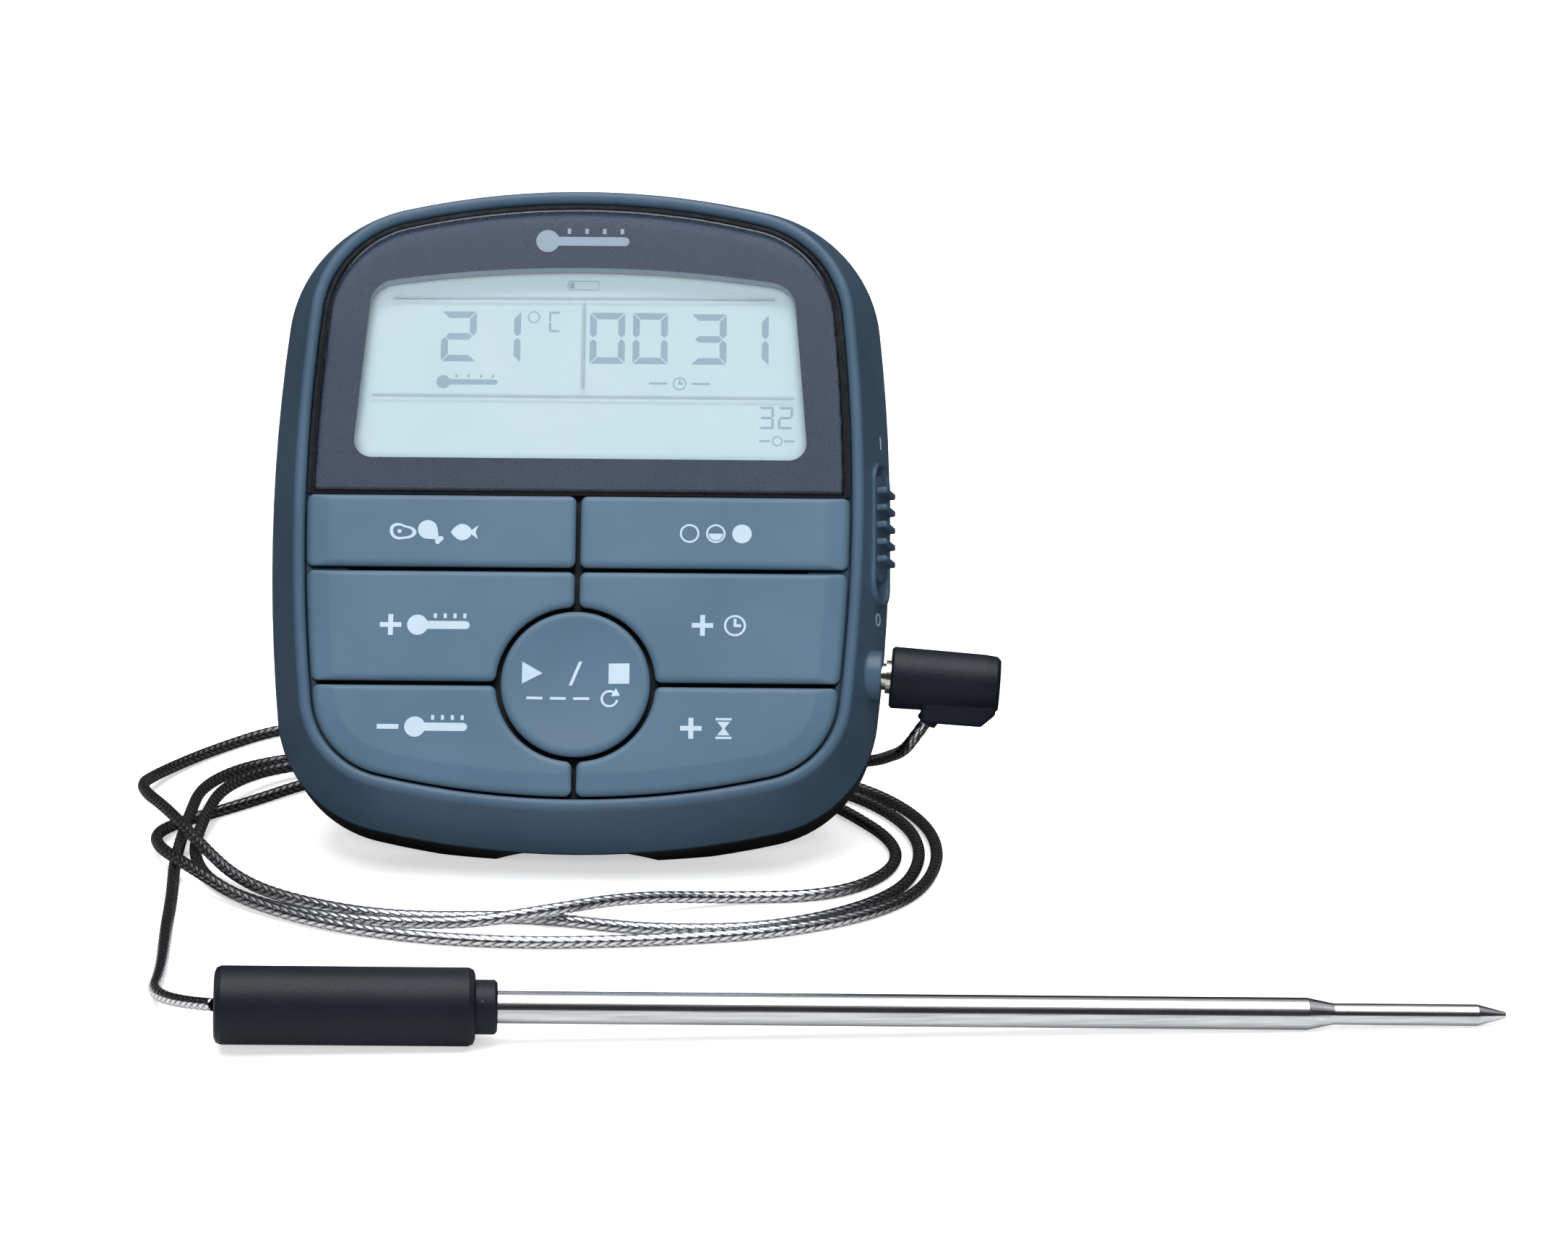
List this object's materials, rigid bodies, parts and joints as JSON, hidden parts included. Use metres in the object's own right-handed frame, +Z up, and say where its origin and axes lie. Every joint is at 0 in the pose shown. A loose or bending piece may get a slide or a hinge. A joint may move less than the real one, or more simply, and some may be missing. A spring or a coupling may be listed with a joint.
{
  "type": "probe meat thermometer with timer",
  "caption": "Leaning desk thermometer with a display, soft keys, fold-out stand and a braided lead to a long steel meat probe with a rubber grip.",
  "frame": {"origin": "on the table, under the middle of the box round the unit and the probe, without lead and plug", "axes": "+X to the reader's right along the probe, +Y away from the reader, +Z up"},
  "size_m": [0.2185, 0.1844, 0.1062],
  "materials": {
    "blue_housing_plastic": "satin slate blue moulding",
    "blue_key_plastic": "satin slate blue moulding, printed legend",
    "black_housing_plastic": "fine texture",
    "clear_window": "clear acrylic, gloss",
    "window_print": "dark print on the back of the lens",
    "bezel_black": "piano black",
    "lcd_glass": "liquid crystal cell, clear",
    "lcd_backing": "pale mint reflector foil",
    "white_frame_plastic": "plain",
    "grey_silicone": "soft silicone",
    "carbon_rubber": "conductive rubber",
    "board_laminate": "green glass-epoxy laminate",
    "chip_epoxy": "moulded epoxy",
    "tin_can": "tinned steel",
    "buzzer_black": "plain",
    "screw_steel": "zinc plated",
    "switch_body": "tinned steel can",
    "cell_jacket": "plain wrapped cell",
    "spring_nickel": "nickel plated steel",
    "magnet_ferrite": "ferrite",
    "plug_nickel": "nickel plated brass",
    "plug_insulator_black": "plain",
    "grip_rubber": "matte near-black silicone rubber",
    "lead_braid": "stainless steel braid over insulation",
    "probe_steel": "polished stainless steel",
    "sensor_epoxy": "potted bead",
    "wire_insulation": "fluoropolymer"
  },
  "bodies": {
    "unit": {"front_housing": "blue_housing_plastic", "back_housing": "black_housing_plastic", "display_window": "clear_window", "display_mask": "window_print", "window_bezel": "bezel_black", "lcd_panel": "lcd_glass", "lcd_frame": "white_frame_plastic", "lcd_reflector": "lcd_backing", "zebra_strip": "carbon_rubber", "keypad_membrane": "grey_silicone", "contact_pills": "carbon_rubber", "circuit_board": "board_laminate", "processor_chip": "chip_epoxy", "quartz_crystal": "tin_can", "buzzer": "buzzer_black", "board_screws": "screw_steel", "power_switch": "switch_body", "batteries": "cell_jacket", "battery_springs": "spring_nickel", "battery_contacts": "spring_nickel", "housing_screws": "screw_steel", "magnets": "magnet_ferrite", "jack_socket": "buzzer_black"},
    "meat_button": {"meat_button": "blue_key_plastic"},
    "taste_button": {"taste_button": "blue_key_plastic"},
    "temp_up_button": {"temp_up_button": "blue_key_plastic"},
    "hour_button": {"hour_button": "blue_key_plastic"},
    "temp_down_button": {"temp_down_button": "blue_key_plastic"},
    "minute_button": {"minute_button": "blue_key_plastic"},
    "start_stop_button": {"start_stop_button": "blue_key_plastic"},
    "power_slider": {"power_slider": "blue_key_plastic", "switch_nub": "buzzer_black"},
    "battery_door": {"battery_door": "black_housing_plastic"},
    "stand": {"stand": "black_housing_plastic"},
    "probe_lead": {"plug_body": "grip_rubber", "plug_sleeve": "plug_nickel", "plug_insulator": "plug_insulator_black", "plug_tip": "plug_nickel", "lead": "lead_braid", "probe_handle": "grip_rubber", "crimp_sleeve": "plug_nickel", "probe_shaft": "probe_steel", "temperature_sensor": "sensor_epoxy", "sensor_wires": "wire_insulation"}
  },
  "joints": [
    {"name": "meat_button_press", "type": "slide", "parent": "unit", "child": "meat_button", "axis": [0, 0.8746, -0.4848], "range_m": [0, 0.001], "stiffness_N_per_m": 900, "springref_m": -0.0003},
    {"name": "taste_button_press", "type": "slide", "parent": "unit", "child": "taste_button", "axis": [0, 0.8746, -0.4848], "range_m": [0, 0.001], "stiffness_N_per_m": 900, "springref_m": -0.0003},
    {"name": "temp_up_button_press", "type": "slide", "parent": "unit", "child": "temp_up_button", "axis": [0, 0.8746, -0.4848], "range_m": [0, 0.001], "stiffness_N_per_m": 900, "springref_m": -0.0003},
    {"name": "hour_button_press", "type": "slide", "parent": "unit", "child": "hour_button", "axis": [0, 0.8746, -0.4848], "range_m": [0, 0.001], "stiffness_N_per_m": 900, "springref_m": -0.0003},
    {"name": "temp_down_button_press", "type": "slide", "parent": "unit", "child": "temp_down_button", "axis": [0, 0.8746, -0.4848], "range_m": [0, 0.001], "stiffness_N_per_m": 900, "springref_m": -0.0003},
    {"name": "minute_button_press", "type": "slide", "parent": "unit", "child": "minute_button", "axis": [0, 0.8746, -0.4848], "range_m": [0, 0.001], "stiffness_N_per_m": 900, "springref_m": -0.0003},
    {"name": "start_stop_button_press", "type": "slide", "parent": "unit", "child": "start_stop_button", "axis": [0, 0.8746, -0.4848], "range_m": [0, 0.001], "stiffness_N_per_m": 900, "springref_m": -0.0003},
    {"name": "power_slide", "type": "slide", "parent": "unit", "child": "power_slider", "axis": [0, 0.4848, 0.8746], "range_m": [-0.003, 0]},
    {"name": "battery_door_lift", "type": "slide", "parent": "unit", "child": "battery_door", "axis": [0, 0.8746, -0.4848], "range_m": [0, 0.015]},
    {"name": "stand_hinge", "type": "hinge", "parent": "unit", "child": "stand", "pos_m": [-0.0449, 0.05284, 0.05231], "axis": [1, 0, 0], "range_deg": [-45.48, 0]},
    {"name": "plug_pull", "type": "slide", "parent": "unit", "child": "probe_lead", "axis": [0.9976, -0.0338, -0.061], "range_m": [0, 0.016]}
  ]
}
